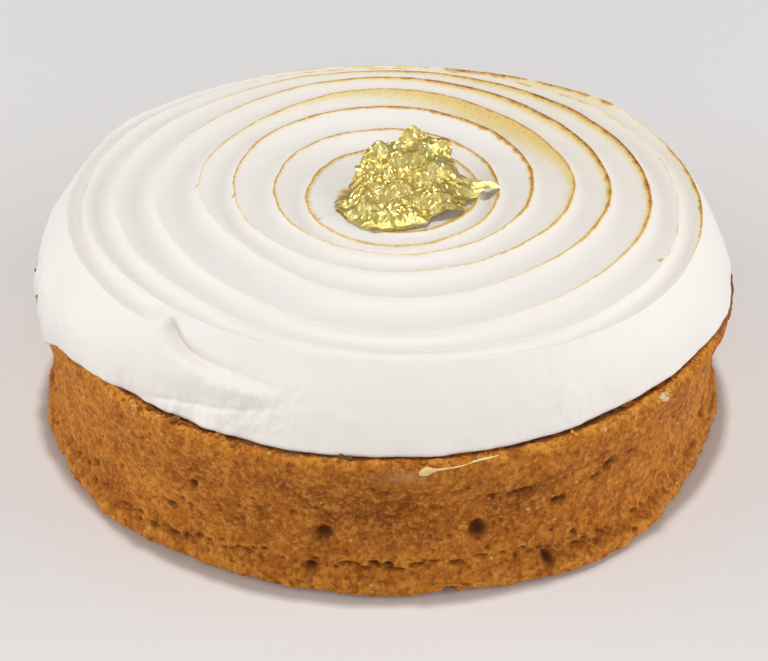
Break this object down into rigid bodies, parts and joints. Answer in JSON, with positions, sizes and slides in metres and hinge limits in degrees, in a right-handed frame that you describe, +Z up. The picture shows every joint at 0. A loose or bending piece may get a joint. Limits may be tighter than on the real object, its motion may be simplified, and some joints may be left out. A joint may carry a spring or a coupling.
{
  "type": "lemon tart",
  "caption": "Round individual tart: a straight-sided sandy pastry case under a domed meringue cap with a toasted spiral ridge, topped by a crumpled flake of gold leaf.",
  "frame": {"origin": "centre of the flat base the tart stands on", "axes": "+Z up through the dome, -Y towards the side shown in front, +X to its right"},
  "size_m": [0.0805, 0.0804, 0.0325],
  "materials": {
    "pastry": "matt baked shortcrust, sandy crumb",
    "meringue": "satin white, toasted along the ridge",
    "leaf": "bright crumpled leaf"
  },
  "bodies": {
    "root": {"pastry_case": "pastry", "meringue_cap": "meringue", "gold_leaf": "leaf"}
  },
  "joints": []
}
